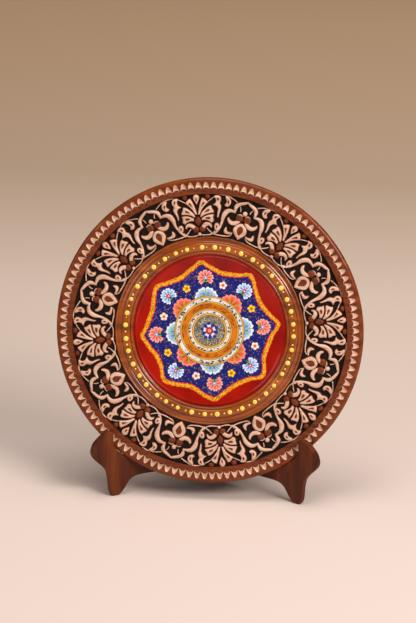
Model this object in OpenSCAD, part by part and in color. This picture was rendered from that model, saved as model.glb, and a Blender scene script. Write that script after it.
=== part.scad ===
// Carved wooden display plate with a painted medallion, standing on a cross-lapped stand.
// Z is up, X is to the viewer's right and the plate faces -Y. The origin is on the table, under the middle.

/* [Plate] */
// Outer diameter of the plate
plate_d = 300; // [240:1:360]
// Thickness of the rim at its outer edge
rim_edge_t = 8.5; // [6:0.5:11]
// Depth of the whole plate, from its foot to the face of the rim
plate_depth = 18; // [15:0.5:24]
// Radius of the foot that the back stands on
foot_r = 88; // [70:1:100]
// Angle that the plate leans back
lean = 11; // [4:1:16]
// Angle that the plate happens to be turned in its notches
plate_turn = 7; // [-20:0.5:20]

/* [Carved border] */
// Width of the plain rim around the carving
rim_w = 15.6; // [12:0.1:18]
// Width of the carved border
border_w = 41.7; // [36:0.1:46]
// Depth of the sunk ground below the face of the rim
ground_depth = 2.8; // [1.5:0.1:4]
// Height of the carving over the ground
relief_h = 2.2; // [0.8:0.1:2.8]
// Thickness of the black-stained ground
ground_skin = 0.6; // [0.3:0.1:1]
// Number of palmettes, with a blossom between each two
repeats = 8; // [6:1:10]
// Number of leaf cuts around the rim
rim_leaf_count = 120; // [60:4:136]

/* [Moulding and medallion] */
// Width of the turned moulding ring
moulding_w = 17.8; // [14:0.1:22]
// Height of the moulding's crest below the face of the rim
crest_drop = 2.2; // [1:0.1:4]
// Depth of the medallion's floor below the face of the rim
dish_drop = 4.6; // [3:0.1:6]
// Width of the sloping wall round the medallion
dish_wall_w = 4.6; // [3:0.1:7]
// Thickness of the medallion's floor
dish_floor_t = 4; // [2.5:0.5:6]
// Thickness of one coat of paint
paint_t = 0.2; // [0.1:0.05:0.4]
// Number of large gold dots on the moulding
dot_count = 39; // [24:1:44]
// Diameter of a large gold dot
dot_d = 5.2; // [3:0.1:6]

/* [Stand] */
// Length of each board
board_len = 230; // [222:1:280]
// Thickness of each board
board_t = 6; // [4:0.5:8]
// Angle of each board to the plate's front
board_angle = 30; // [27:1:38]
// Height of the boards where they cross
board_h = 152; // [130:1:170]
// Height of the arch between the feet
arch_h = 18.5; // [14:0.5:22]
// Height of the hooks in front of the plate
hook_h = 67.5; // [60:0.5:76]
// Length of a hook along its board
hook_len = 22.5; // [19:0.5:28]

/* [Fits] */
// Gap between the plate and the stand
seat_gap = 0.4; // [0.3:0.1:1]
// Gap on each side of a board in the other board's slot
slot_gap = 0.25; // [0.1:0.05:0.5]
// Gap round the moulding ring and the medallion in their seats
glue_gap = 0.1; // [0.05:0.05:0.3]

/* [Hidden] */
smooth_fn = 96;
round_fn = 48;
small_fn = 24;

// Radii and heights of the plate, measured from its axis and from the back of its foot.
plate_r = plate_d / 2;
border_ro = plate_r - rim_w;
border_ri = border_ro - border_w;
medallion_r = border_ri - moulding_w;
face_w = plate_depth;
ground_w = face_w - ground_depth;
crest_w = face_w - crest_drop;
floor_w = face_w - dish_drop;
seat_w = floor_w - dish_floor_t;
edge_back_w = face_w - rim_edge_t;
edge_round = rim_edge_t * 0.4;
sector = 360 / repeats;
wall_r = medallion_r - dish_wall_w;
crown_x = medallion_r + moulding_w * 0.42;

// Where the painting's parts end or have their centres, as shares of the medallion's radius.
rings_r = medallion_r * 0.457;
centre_r = medallion_r * 0.192;
fans_r = medallion_r * 0.5;
small_flowers_r = medallion_r * 0.64;
flowers_r = medallion_r * 0.72;
star_tip_r = wall_r - 0.6;
star_valley_r = wall_r * 0.835;
star_border = 5;
// The carving is drawn for this border and is fitted to the real one.
drawn_ro = 135;
drawn_ri = 93.4;

// Where the plate sits, from the hooks' walls and the notches' floor. A board's distances run from the cross.
cross_angle = 2 * board_angle;
notch_floor_z = 32;
front_len = board_len * 0.559;
// Brings the middle of the whole over the origin, because the boards cross nearer their rear ends.
middle_y = (2 * front_len - board_len) / 2 * sin(board_angle);
wall_s = front_len - hook_len;
hook_wall_y = -wall_s * sin(board_angle) + board_t / 2 * cos(board_angle);
hook_wall_x = wall_s * cos(board_angle) - board_t / 2 * sin(board_angle);
seat_s = wall_s - (rim_edge_t / cos(lean) + board_t * cos(board_angle)) / sin(board_angle);
seat_x = seat_s * cos(board_angle) - board_t / 2 * sin(board_angle);
foot_z = notch_floor_z + seat_gap + sqrt(pow(plate_r, 2) - pow(seat_x, 2)) * cos(lean)
    - (edge_back_w + edge_round) * sin(lean);
front_edge_z = foot_z + face_w * sin(lean) - sqrt(pow(plate_r, 2) - pow(hook_wall_x, 2)) * cos(lean);
foot_y = hook_wall_y + seat_gap + face_w / cos(lean) + (foot_z - front_edge_z) * tan(lean);

// Points of a closed smooth curve through the points p, with n steps between neighbours.
function at(p, i) = p[(i + len(p)) % len(p)];
function spline_point(a, b, c, d, t) =
    0.5 * (2 * b + (c - a) * t + (2 * a - 5 * b + 4 * c - d) * t * t + (3 * b - a - 3 * c + d) * t * t * t);
function smooth(p, n) = [for (i = [0:len(p) - 1], k = [0:n - 1])
    spline_point(at(p, i - 1), at(p, i), at(p, i + 1), at(p, i + 2), k / n)];

// A half outline, drawn on the side where x is positive, closed with its mirror image.
function both_sides(half) = concat(half, [for (i = [len(half) - 1:-1:0]) if (half[i].x > 0) [-half[i].x, half[i].y]]);

// Puts a drawing made in the plate's own axes (front towards +Z) into the stand.
module on_plate() {
    translate([0, foot_y + middle_y, foot_z]) rotate([90 - lean, 0, 0]) rotate([0, 0, plate_turn]) children();
}

// A drawing for one sector, with +Y pointing outwards, scaled to the border's true width.
module border_drawing() {
    k = (border_ro - border_ri) / (drawn_ro - drawn_ri);
    translate([0, border_ri - drawn_ri * k]) scale(k) children();
}

// Repeats a flat drawing round the border and raises it over the ground.
module carved(offset_share, height = relief_h) {
    on_plate() translate([0, 0, ground_w])
        for (i = [0:repeats - 1]) rotate([0, 0, -(i + offset_share) * sector])
            linear_extrude(height) border_drawing() children();
}

module mirrored() {
    children();
    mirror([1, 0]) children();
}

// The turned walnut plate, with a sunk ground for the carving and a seat for the centre.
module turned_plate() {
    back_slope_r = foot_r + 4;
    profile = [
        [0, 0], [foot_r, 0], [back_slope_r, 2.5], [plate_r - 8, edge_back_w - 1],
        [plate_r - edge_round, edge_back_w], [plate_r - 0.9, edge_back_w + edge_round * 0.35],
        [plate_r, edge_back_w + edge_round], [plate_r, face_w - edge_round],
        [plate_r - 0.9, face_w - edge_round * 0.35], [plate_r - edge_round, face_w],
        [border_ro, face_w], [border_ro, ground_w - ground_skin],
        [border_ri, ground_w - ground_skin], [border_ri, seat_w], [0, seat_w]];
    color("#7d3f1c") on_plate() rotate_extrude($fn = smooth_fn) polygon(profile);
}

// The black-stained, stippled ground between the carvings.
module border_ground() {
    color("#1d1715") on_plate() translate([0, 0, ground_w - ground_skin]) difference() {
        cylinder(h = ground_skin, r = border_ro, $fn = smooth_fn);
        translate([0, 0, -1]) cylinder(h = ground_skin + 2, r = border_ri, $fn = smooth_fn);
    }
}

// One palmette: a bud, three pairs of leaves, a lozenge, two curls and a bead.
module palmette() {
    polygon(both_sides([[0, 123.3], [1.0, 124.2], [2.4, 127.5], [2.9, 131], [2.0, 133.2], [0, 134.1]]));
    mirrored() {
        polygon([[0.8, 114.0], [2.1, 114.6], [6.4, 121.2], [10.8, 126.2], [8.6, 128.6], [5.6, 130.6], [3.3, 125.5]]);
        polygon([[2.9, 112.6], [6.2, 113.5], [11, 115.0], [15.6, 116.0], [15.3, 118.8], [11.8, 121.6], [6.6, 116.9]]);
        polygon([[3.8, 109.9], [8.5, 107.6], [13.5, 106.6], [15.2, 109.6], [15.5, 113.1], [8.6, 112.1]]);
        polygon([[3.2, 101.9], [5.2, 104.4], [8.5, 105.7], [12.2, 104.0], [12.4, 101.6], [10.4, 102.7],
                 [8.5, 102.6], [6.4, 101.2], [4.9, 99.2]]);
        translate([2.7, 99.9]) circle(r = 2.5, $fn = round_fn);
    }
    polygon([[0, 112.0], [2.7, 107.8], [0, 103.2], [-2.7, 107.8]]);
    translate([0, 95.6]) circle(r = 1.5, $fn = round_fn);
}

module palmette_carvings() color("#d9a88c") carved(0) palmette();

// One lyre: two bands that rise from the inner edge, break at a cusp and meet in a point.
module lyre() {
    mirrored() polygon([
        [0, 132.8], [4.9, 130.0], [8.5, 127.7], [10.0, 122.5], [10.2, 119.6], [12.8, 120.5], [16.9, 119.6],
        [19.1, 116.0], [19.6, 109.6], [19.7, 101.4], [21.2, 96.4], [23.2, 93.6], [20.8, 94.2], [18.2, 98.2],
        [17.0, 103.4], [17.2, 109.5], [16.4, 114.4], [13.3, 117.6], [9.2, 118.2], [7.2, 121.9], [4.8, 127.4], [0, 130.2]]);
}

module lyre_carvings() color("#d3a084") carved(0.5) lyre();

// One blossom: a drop that points inwards, two beans with horns, and a bead.
module blossom() {
    polygon(both_sides([[0, 94.2], [3.0, 96.8], [6.1, 100.3], [6.5, 104], [4.4, 107.2], [0, 109.6]]));
    mirrored() {
        translate([4.4, 114.2]) circle(r = 3.2, $fn = round_fn);
        polygon([[4.0, 111.2], [5.0, 108.4], [8.7, 106.6], [13.1, 107.4], [15.0, 110.2], [13.8, 112.2],
                 [11.8, 110.9], [9.5, 110.6], [7.2, 112.4]]);
    }
    translate([0, 119.8]) circle(r = 2.3, $fn = round_fn);
}

module blossom_carvings() color("#dcab90") carved(0.5) blossom();

// The small leaves and stems that fill the ground, drawn on both sides of a palmette.
module scrolls() {
    mirrored() {
        polygon([[17.5, 131.0], [20.5, 131.6], [23.4, 130.0], [23.8, 126.8], [21.6, 124.4], [23.0, 120.0],
                 [21.8, 114.4], [19.4, 110.2], [20.0, 114.6], [19.6, 119.2], [17.4, 122.2], [20.4, 124.8], [20.6, 128.6]]);
        polygon([[27.6, 130.4], [29.4, 130.6], [30.8, 128.0], [31.3, 124.0], [28.6, 120.4], [26.2, 121.2],
                 [28.6, 123.6], [28.8, 127.0]]);
        polygon([[15.2, 102.2], [17.0, 104.4], [18.0, 104.0], [18.1, 101.4], [16.6, 98.0], [15.4, 98.6]]);
        polygon([[27.4, 100.2], [24.4, 98.8], [23.8, 96.2], [25.8, 94.4], [28.0, 93.6], [30.6, 93.8], [27.4, 95.2],
                 [26.0, 96.6]]);
    }
}

module scroll_carvings() color("#cf9b7e") carved(0) scrolls();

// Round studs left standing beside the bud of each palmette.
module border_studs() {
    color("#8f4a24") carved(0, relief_h * 0.7) mirrored() translate([11.2, 131.9]) circle(r = 1.8, $fn = round_fn);
}

// Leaf-shaped cuts of bare wood round the rim, each the meeting of two circles.
module rim_leaves() {
    leaf_len = rim_w * 0.5;
    leaf_r = leaf_len * 0.82;
    shift = leaf_r - 2 * PI * (plate_r - rim_w / 2) / rim_leaf_count * 0.38;
    color("#dcb096") on_plate() translate([0, 0, face_w])
        for (i = [0:rim_leaf_count - 1]) rotate([0, 0, (i + 0.5) * 360 / rim_leaf_count])
            translate([0, plate_r - rim_w * 0.48]) linear_extrude(paint_t) intersection() {
                translate([shift, 0]) circle(r = leaf_r, $fn = round_fn);
                translate([-shift, 0]) circle(r = leaf_r, $fn = round_fn);
            }
}

// The turned ring between the carving and the medallion: a bead, a cove and a crowned band.
module moulding_ring() {
    ro = border_ri - glue_gap;
    ri = medallion_r + glue_gap;
    crown_r = 12;
    crown_half = 5.2;
    crown = [for (k = [-4:4]) let (dx = crown_half * k / 4)
        [crown_x + dx, crest_w - crown_r + sqrt(pow(crown_r, 2) - dx * dx)]];
    profile = concat(
        [[ri, seat_w], [ri, crest_w - 2.1], [ri + 0.6, crest_w - 1.5]],
        crown,
        [[crown_x + crown_half + 0.5, crest_w - 1.9], [ro - 3.2, crest_w - 1.9], [ro - 2.4, crest_w - 1.0],
         [ro - 0.8, crest_w - 1.0], [ro, crest_w - 1.7], [ro, seat_w]]);
    color("#86431a") on_plate() rotate_extrude($fn = smooth_fn) polygon(profile);
}

// Drops of gold relief paint on the crest, a small one between each two large ones.
module gold_dots() {
    color("#e9b93f") on_plate() for (i = [0:dot_count - 1]) rotate([0, 0, i * 360 / dot_count]) {
        translate([crown_x, 0, crest_w]) cylinder(h = dot_d * 0.16, r1 = dot_d * 0.3, r2 = dot_d * 0.22, $fn = small_fn);
        rotate([0, 0, 180 / dot_count]) translate([crown_x, 0, crest_w])
            cylinder(h = dot_d * 0.08, r1 = dot_d * 0.16, r2 = dot_d * 0.1, $fn = small_fn);
    }
}

// The lacquered dish in the middle, with a sloping wall.
module medallion_dish() {
    color("#9c1a10") on_plate() rotate_extrude($fn = smooth_fn) polygon([
        [0, seat_w], [medallion_r, seat_w], [medallion_r, crest_w - 2.6], [medallion_r - 0.6, crest_w - 2.3],
        [wall_r + dish_wall_w * 0.35, floor_w + 0.35], [wall_r, floor_w], [0, floor_w]]);
}

// A star with straight sides and blunt valleys. shrink moves its outline inwards.
module star(shrink) {
    polygon([for (i = [0:repeats - 1], step = [[0, star_tip_r], [0.43, star_valley_r + 0.6], [0.57, star_valley_r + 0.6]])
        (step[1] - shrink) * [sin((i + step[0]) * sector), cos((i + step[0]) * sector)]]);
}

module star_outline() {
    color("#e2a32c") on_plate() translate([0, 0, floor_w]) linear_extrude(paint_t) difference() {
        star(0);
        star(star_border);
    }
}

module star_field() {
    color("#1b2a86") on_plate() translate([0, 0, floor_w]) linear_extrude(paint_t) difference() {
        star(star_border);
        circle(r = rings_r, $fn = smooth_fn);
    }
}

// Flowers painted on the blue field, in three rings: large ones, small ones and fans against the rosette.
module painted_flowers() {
    color("#f0887c") on_plate() translate([0, 0, floor_w + paint_t])
        for (i = [0:repeats - 1], ring = [[0, flowers_r, 7], [0.5, small_flowers_r, 3.6], [0, fans_r, 3.8]])
            rotate([0, 0, (i + ring[0]) * sector]) translate([0, ring[1]])
                cylinder(h = paint_t, r = ring[2], $fn = small_fn);
}

// Flat rings of gold, white and orange round the centre.
module rosette_rings() {
    color("#e6c88a") on_plate() translate([0, 0, floor_w]) difference() {
        cylinder(h = paint_t, r = rings_r, $fn = smooth_fn);
        translate([0, 0, -1]) cylinder(h = paint_t + 2, r = centre_r, $fn = smooth_fn);
    }
}

module rosette_centre() {
    color("#8a8378") on_plate() translate([0, 0, floor_w])
        cylinder(h = paint_t, r = centre_r, $fn = smooth_fn);
}

// Outline of one board in its own plane: x from its front end, y up.
function board_outline() =
    let (h = hook_h, a = arch_h, c = front_len, e = board_len, top = board_h, w = hook_len)
    concat(
        // down the front of the hook and round the front foot to the arch
        [[0, h - 20.2], [1.5, h - 25], [5.9, h - 30.2], [11.3, h - 35.5], [15.3, h - 41.5], [17.1, a + 0.3],
         [17.7, 11.9], [18.4, 5.5], [20.2, 1], [22.4, -0.5], [26, -0.4], [29, 1.3], [32.8, a * 0.28],
         [36.2, a * 0.55], [39.1, a * 0.76], [43.6, a * 0.93], [51, a], [60, a], [70, a], [84, a], [104, a]],
        // the rear foot and the sloping back, up to the crest over the cross
        [[e / 2, a], [e - 104, a], [e - 84, a], [e - 70, a], [e - 60, a], [e - 51, a], [e - 43.6, a * 0.93],
         [e - 39.1, a * 0.76], [e - 36.2, a * 0.55], [e - 32.8, a * 0.28], [e - 29, 1.3], [e - 26, -0.4],
         [e - 19, -0.5], [e - 12, 4], [e - 5, 13], [e, 23], [e - 3, 31], [e - 13, 37], [e - 28, 43], [e - 42, 53],
         [c + 44, 76], [c + 32, 100], [c + 22, top - 22], [c + 11, top - 4], [c - 1.5, top], [c - 13.5, top - 4],
         [c - 21.5, top - 16], [c - 27.5, top - 40], [c - 33.5, top - 64]],
        // across the notch, which is cut out afterwards, and over the hook
        [[w + 26, h + 8], [w + 6, h - 0.5], [w - 1, h - 0.6], [17.6, h], [13.6, h - 1.4], [8.6, h - 4.9], [3, h - 10.5],
         [0.6, h - 15.8]]);

// The part of the board's plane that the plate needs, open upwards, with the back rest parallel to the plate.
function rest_x(z) = front_len
    + (foot_y + (z - foot_z) * tan(lean) + seat_gap + board_t / 2 * cos(board_angle)) / sin(board_angle);
// Height of the plate's underside over a board, at a distance from the cross and to one side of the middle.
function edge_r(w) = lookup(w, [
    [0, foot_r], [2.5, foot_r + 4], [edge_back_w - 1, plate_r - 8], [edge_back_w, plate_r - edge_round],
    [edge_back_w + edge_round * 0.35, plate_r - 0.9], [edge_back_w + edge_round, plate_r],
    [face_w - edge_round, plate_r], [face_w - edge_round * 0.35, plate_r - 0.9], [face_w, plate_r - edge_round]]);
function depth_over(x, y, r) = (foot_y - sqrt(r * r - x * x) * sin(lean) - y) / cos(lean);
function under_z(from_cross, side) =
    let (x = from_cross * cos(board_angle) + side * sin(board_angle),
         y = -from_cross * sin(board_angle) + side * cos(board_angle),
         r = edge_r(depth_over(x, y, plate_r)))
    foot_z - sqrt(r * r - x * x) * cos(lean) + depth_over(x, y, r) * sin(lean);

module plate_notch() {
    over = board_h + 20;
    steps = 24;
    seat_length = wall_s - seat_s;
    under = [for (k = [0:steps]) let (from_cross = wall_s - seat_length * k / steps)
        [front_len - from_cross, min([for (side = [-1:1]) under_z(from_cross, side * board_t / 2)]) - 2 * seat_gap]];
    edge = [for (k = [0:steps]) [under[k].x, min([for (j = [0:k]) under[j].y])]];
    floor_z = edge[steps].y;
    polygon(concat([[hook_len, over]], edge, [[rest_x(floor_z), floor_z], [rest_x(over), over]]));
}

// One board standing on the table, centred on the cross, with its front end towards -X.
module board(slot_from, slot_to) {
    slot_w = board_t * (1 + cos(cross_angle)) / sin(cross_angle) + 2 * slot_gap;
    difference() {
        rotate([90, 0, 0]) translate([-front_len, 0, -board_t / 2]) linear_extrude(board_t) difference() {
            polygon(smooth(board_outline(), 4));
            plate_notch();
            translate([0, -5]) square([board_len, 5]);
        }
        translate([-slot_w / 2, -board_t, slot_from]) cube([slot_w, 2 * board_t, slot_to - slot_from]);
    }
}

lap_z = (arch_h + board_h) / 2;

// The left board stands across the right one, so its slot opens downwards.
module left_board() {
    color("#5c2f1c") translate([0, middle_y, 0]) rotate([0, 0, board_angle]) board(-1, lap_z + slot_gap);
}

module right_board() {
    color("#562b1a") translate([0, middle_y, 0]) mirror([1, 0, 0]) rotate([0, 0, board_angle]) board(lap_z - slot_gap, board_h + 1);
}

turned_plate();
border_ground();
palmette_carvings();
lyre_carvings();
blossom_carvings();
scroll_carvings();
border_studs();
rim_leaves();
moulding_ring();
gold_dots();
medallion_dish();
star_outline();
star_field();
painted_flowers();
rosette_rings();
rosette_centre();
left_board();
right_board();
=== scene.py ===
"""A carved wooden display plate with a lacquer-painted medallion, on a stand of two half-lapped boards.

Sizes are in millimetres in the plate's own axes: x to the right, y up its face, and depth from the back
of its foot towards the viewer. They become metres in the row's frame when a piece is finished.
"""

import math
import random

import bmesh
import bpy
from mathutils import Matrix, Vector, geometry


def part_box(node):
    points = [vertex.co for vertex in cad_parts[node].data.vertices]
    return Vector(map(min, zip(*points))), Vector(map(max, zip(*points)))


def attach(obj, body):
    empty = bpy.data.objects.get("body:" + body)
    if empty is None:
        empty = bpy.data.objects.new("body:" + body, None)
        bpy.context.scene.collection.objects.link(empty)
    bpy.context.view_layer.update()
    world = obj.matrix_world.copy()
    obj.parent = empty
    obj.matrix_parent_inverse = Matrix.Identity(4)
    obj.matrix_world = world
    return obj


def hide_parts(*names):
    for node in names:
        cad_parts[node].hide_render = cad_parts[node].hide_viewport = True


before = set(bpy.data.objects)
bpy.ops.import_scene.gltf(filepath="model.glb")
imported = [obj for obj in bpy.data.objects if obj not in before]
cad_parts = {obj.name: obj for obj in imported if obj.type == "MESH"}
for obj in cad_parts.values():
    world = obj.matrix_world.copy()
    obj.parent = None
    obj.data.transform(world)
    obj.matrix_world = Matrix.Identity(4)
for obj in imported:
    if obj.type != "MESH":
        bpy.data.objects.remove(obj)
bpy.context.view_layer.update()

MM = 0.001
TAU = math.tau

# ---------------------------------------------------------------- sizes, as the solids have them

LEAN = math.radians(11)
TURN = math.radians(7)
REPEATS = 8
SECTOR = TAU / REPEATS
plate_low, plate_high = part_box("turned_plate")
PLATE_R = round((plate_high.x - plate_low.x) / 2 / MM)
FACE = 18.0
EDGE_BACK = 9.5
FOOT_R = 88.0
BORDER_OUT = PLATE_R - 15.6
BORDER_IN = BORDER_OUT - 41.7
GROUND = FACE - 2.8
RELIEF = 2.2
DISH_R = BORDER_IN - 17.8
CREST = FACE - 2.2
FLOOR = FACE - 4.6
WALL_R = DISH_R - 4.6
SEAT = FLOOR - 4.0
CUTS = 120

# The painted centre is a thin disc on the plate's axis, so its box gives a point of the axis.
disc_low, disc_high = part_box("rosette_centre")
to_front = Vector((0, -math.cos(LEAN), math.sin(LEAN)))
to_top = Vector((0, math.sin(LEAN), math.cos(LEAN)))
PLATE = Matrix((Vector((1, 0, 0)), to_top, to_front)).transposed().to_4x4()
PLATE.translation = (disc_low + disc_high) / 2 - to_front * (FLOOR + 0.1) * MM
PLATE = PLATE @ Matrix.Scale(MM, 4) @ Matrix.Rotation(TURN, 4, "Z")


# ---------------------------------------------------------------- colours, nodes and materials

def colour(code, alpha=1.0):
    """An sRGB hex colour as linear values."""
    parts = [int(code[i : i + 2], 16) / 255 for i in (1, 3, 5)]
    linear = [c / 12.92 if c <= 0.04045 else ((c + 0.055) / 1.055) ** 2.4 for c in parts]
    return (*linear, alpha)


def add(tree, kind, inputs=None, **settings):
    """Adds a node. inputs maps a socket's name or number to a value or to the socket that feeds it."""
    made = tree.nodes.new(kind)
    for key, value in settings.items():
        setattr(made, key, value)
    for key, value in (inputs or {}).items():
        if isinstance(value, bpy.types.NodeSocket):
            tree.links.new(value, made.inputs[key])
        else:
            made.inputs[key].default_value = value
    return made


def new_material(name, **fixed):
    """A material with its shader's constant sockets set, as (material, tree, shader)."""
    made = bpy.data.materials.new(name)
    made.use_nodes = True
    shader = made.node_tree.nodes["Principled BSDF"]
    for key, value in fixed.items():
        shader.inputs[key.replace("_", " ").title().replace("Ior", "IOR")].default_value = value
    return made, made.node_tree, shader


def ramp(tree, factor, stops):
    """A colour ramp node from (position, hex) stops."""
    made = add(tree, "ShaderNodeValToRGB", {"Fac": factor})
    marks = made.color_ramp.elements
    while len(marks) < len(stops):
        marks.new(0.5)
    for mark, (place, code) in zip(marks, stops):
        mark.position = place
        mark.color = colour(code)
    return made


def grain(tree, turn, along, across, detail=4.0):
    """Wood grain as 0 to 1: noise on Object coordinates, turned, then stretched along the fibres."""
    place = add(tree, "ShaderNodeTexCoord")
    turned = add(tree, "ShaderNodeMapping", {"Vector": place.outputs["Object"], "Rotation": turn})
    stretched = add(
        tree,
        "ShaderNodeMapping",
        {"Vector": turned.outputs["Vector"], "Scale": (along, across, across)},
    )
    return add(
        tree,
        "ShaderNodeTexNoise",
        {"Vector": stretched.outputs["Vector"], "Scale": 1.0, "Detail": detail, "Distortion": 0.6},
    )


def stained_wood(name, turn, stops, along=9.0, across=120.0, **fixed):
    """Stained hardwood: long fibres show as darker streaks, and the wax lies over a fine tooth."""
    made, tree, shader = new_material(name, **fixed)
    fibres = grain(tree, turn, along, across)
    tone = ramp(tree, fibres.outputs["Fac"], stops)
    tree.links.new(tone.outputs["Color"], shader.inputs["Base Color"])
    tooth = add(tree, "ShaderNodeBump", {"Height": fibres.outputs["Fac"], "Strength": 0.12,
                                         "Distance": 0.0004})
    tree.links.new(tooth.outputs["Normal"], shader.inputs["Normal"])
    return made


def carved_walnut():
    """Stained walnut cut back to bare wood. The 'bare' attribute is 1 on a fresh cut, 0 on the stain
    and -1 in a nick, which is painted near-black as painted shade in the deep cut."""
    made, tree, shader = new_material("carved walnut, stained and cut back", roughness=0.5,
                                      specular_ior_level=0.3)
    fibres = grain(tree, (0, 0, 0), 12.0, 260.0)
    stain = ramp(tree, fibres.outputs["Fac"], [(0.3, "#562006"), (0.62, "#7a360e")])
    fresh = ramp(tree, fibres.outputs["Fac"], [(0.3, "#c4957a"), (0.65, "#e2bea8")])
    cut = add(tree, "ShaderNodeAttribute", attribute_name="bare")
    worn = add(tree, "ShaderNodeMix", {0: cut.outputs["Fac"], 6: stain.outputs["Color"],
                                       7: fresh.outputs["Color"]}, data_type="RGBA", clamp_factor=True)
    # Painted shade: faces marked -1 in the rim's nicks get near-black #1c110c, the shade of the deep notch.
    nick = add(tree, "ShaderNodeMath", {0: cut.outputs["Fac"], 1: -0.5}, operation="LESS_THAN")
    nick_shade_mix = add(tree, "ShaderNodeMix", {0: nick.outputs[0], 6: worn.outputs[2], 7: colour("#1c110c")},
                data_type="RGBA")
    tree.links.new(nick_shade_mix.outputs[2], shader.inputs["Base Color"])
    tooth = add(tree, "ShaderNodeBump", {"Height": fibres.outputs["Fac"], "Strength": 0.15,
                                         "Distance": 0.0004})
    tree.links.new(tooth.outputs["Normal"], shader.inputs["Normal"])
    return made


def stippled_black():
    """Black-stained ground, dimpled all over with a pointed punch about 1.1 mm apart."""
    made, tree, shader = new_material("stippled black ground", roughness=0.75, specular_ior_level=0.15)
    place = add(tree, "ShaderNodeTexCoord")
    punch = add(tree, "ShaderNodeTexVoronoi", {"Vector": place.outputs["Object"], "Scale": 900.0})
    tone = ramp(tree, punch.outputs["Distance"], [(0.1, "#040303"), (0.75, "#211814")])
    tree.links.new(tone.outputs["Color"], shader.inputs["Base Color"])
    dimple = add(tree, "ShaderNodeBump", {"Height": punch.outputs["Distance"], "Strength": 0.7,
                                          "Distance": 0.0005})
    tree.links.new(dimple.outputs["Normal"], shader.inputs["Normal"])
    return made


def red_lacquer():
    """Deep red lacquer, rubbed and varnished: slightly clouded colour under a clear gloss."""
    made, tree, shader = new_material("red lacquer", roughness=0.4, specular_ior_level=0.1, coat_weight=0.3,
                                      coat_roughness=0.05)
    place = add(tree, "ShaderNodeTexCoord")
    cloud = add(tree, "ShaderNodeTexNoise", {"Vector": place.outputs["Object"], "Scale": 30.0, "Detail": 3.0})
    tone = ramp(tree, cloud.outputs["Fac"], [(0.35, "#860a02"), (0.65, "#a81504")])
    tree.links.new(tone.outputs["Color"], shader.inputs["Base Color"])
    return made


def miniature_paint():
    """Fine brush colours under the same clear varnish; each face carries its own colour in 'tint'."""
    made, tree, shader = new_material("miniature paint under varnish", roughness=0.45, specular_ior_level=0.2,
                                      coat_weight=0.5, coat_roughness=0.06)
    tint = add(tree, "ShaderNodeAttribute", attribute_name="tint")
    tree.links.new(tint.outputs["Color"], shader.inputs["Base Color"])
    return made


def relief_gold():
    """Raised drops of gold paint, a yellow that is part metal."""
    made, *_ = new_material("raised gold paint", roughness=0.32, metallic=0.15, coat_weight=0.3,
                            base_color=colour("#ffe062"))
    return made


# The moulding is waxed most and has the strongest gloss. The rim and back are darker and duller.
WALNUT = stained_wood(
    "turned walnut, stained red-brown and waxed", (0, 0, 0),
    [(0.3, "#703106"), (0.55, "#98480c"), (0.75, "#b05c14")], roughness=0.42, specular_ior_level=0.2,
    coat_weight=1.0, coat_roughness=0.14)
RIM_WALNUT = stained_wood(
    "rim walnut, stained darker and waxed", (0, 0, 0),
    [(0.3, "#5e2404"), (0.55, "#7b3507"), (0.75, "#8e4410")], roughness=0.45, specular_ior_level=0.2,
    coat_weight=0.25, coat_roughness=0.12)
CARVED = carved_walnut()
BLACK = stippled_black()
RED = red_lacquer()
PAINT = miniature_paint()
GOLD = relief_gold()
# Stand boards: beech stained nearly brown-black, with upright grain and little wax.
BOARD_TONES = [(0.28, "#341407"), (0.5, "#54230a"), (0.72, "#713510")]
STAND_WOOD = stained_wood("dark stained beech", (0, math.pi / 2, 0), BOARD_TONES, 12.0, 100.0,
                          roughness=0.5, specular_ior_level=0.2)


# ---------------------------------------------------------------- outlines and shells

def spline(points, steps=4, closed=True):
    """A smooth curve through points; a point given twice is a corner."""
    n = len(points)
    spans = n if closed else n - 1
    out = []
    for i in range(spans):
        a, b, c, d = (points[k % n] if closed else points[min(max(k, 0), n - 1)] for k in range(i - 1, i + 3))
        if math.dist(b, c) < 1e-6:
            continue
        for k in range(steps):
            t = k / steps
            weights = (-t + 2 * t * t - t**3, 2 - 5 * t * t + 3 * t**3, t + 4 * t * t - 3 * t**3,
                       t**3 - t * t)
            out.append(tuple(0.5 * sum(w * p[j] for w, p in zip(weights, (a, b, c, d))) for j in (0, 1)))
    if not closed:
        out.append(tuple(points[-1]))
    return out


def stroke(points, widths, steps=5):
    """The outline of a brush or gouge stroke along points, with its widths spread evenly along it."""
    path = spline(points, steps, closed=False)
    left, right = [], []
    for i, p in enumerate(path):
        before, after = path[max(i - 1, 0)], path[min(i + 1, len(path) - 1)]
        dx, dy = after[0] - before[0], after[1] - before[1]
        length = math.hypot(dx, dy) or 1.0
        place = i / (len(path) - 1) * (len(widths) - 1)
        low = min(int(place), len(widths) - 2)
        half = (widths[low] + (widths[low + 1] - widths[low]) * (place - low)) / 2
        left.append((p[0] - dy / length * half, p[1] + dx / length * half))
        right.append((p[0] + dy / length * half, p[1] - dx / length * half))
    return right + left[::-1]


def both_sides(half):
    """Closes a half outline, drawn where x is positive, with its mirror image."""
    return half + [(-x, y) for x, y in reversed(half) if x > 1e-6]


def turned_points(points, angle):
    """Points turned clockwise by angle about the plate's axis."""
    c, s = math.cos(angle), math.sin(angle)
    return [(x * c + y * s, y * c - x * s) for x, y in points]


def moved(points, dx, dy):
    return [(x + dx, y + dy) for x, y in points]


def ellipse(cx, cy, rx, ry, tilt=0.0, count=20):
    """An ellipse's points, its first radius turned anticlockwise by tilt."""
    c, s = math.cos(tilt), math.sin(tilt)
    ring = [(rx * math.cos(TAU * i / count), ry * math.sin(TAU * i / count)) for i in range(count)]
    return [(cx + x * c - y * s, cy + x * s + y * c) for x, y in ring]


def inside(point, outline):
    """True if the point is inside the closed outline."""
    x, y = point
    hit = False
    for (x0, y0), (x1, y1) in zip(outline, outline[1:] + outline[:1]):
        if (y0 > y) != (y1 > y) and x < x0 + (y - y0) / (y1 - y0) * (x1 - x0):
            hit = not hit
    return hit


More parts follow.
